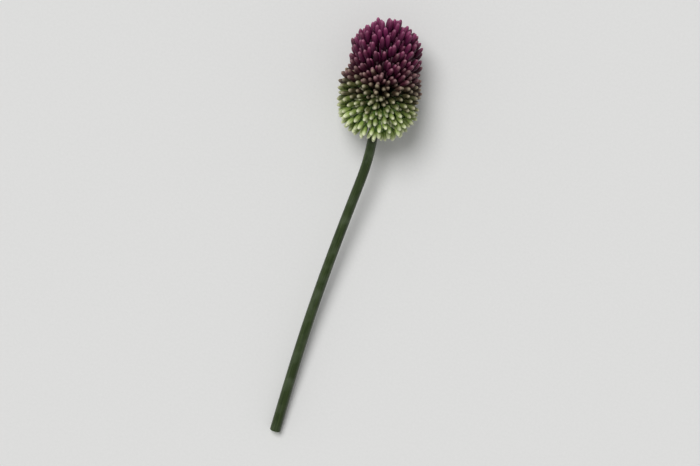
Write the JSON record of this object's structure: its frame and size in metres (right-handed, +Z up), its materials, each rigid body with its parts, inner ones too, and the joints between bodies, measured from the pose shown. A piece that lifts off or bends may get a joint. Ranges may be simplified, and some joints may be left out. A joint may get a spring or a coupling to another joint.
{
  "type": "drumstick allium flower head",
  "caption": "Cut drumstick allium lying on its side: an egg-shaped head of small bud-like florets, purple above and pale green below, on a bent round green stem.",
  "frame": {"origin": "the flat spot that the head rests on, under the floret that reaches lowest", "axes": "+Y along the head from the stem towards its tip, +Z up from the surface that it lies on, +X to the right of the head"},
  "size_m": [0.0407, 0.1818, 0.0337],
  "materials": {
    "purple_florets": "fresh petals, matte",
    "green_florets": "fresh petals, matte",
    "stem": "smooth, slightly waxy"
  },
  "bodies": {
    "root": {"crown": "purple_florets", "skirt": "green_florets", "stem": "stem"}
  },
  "joints": []
}
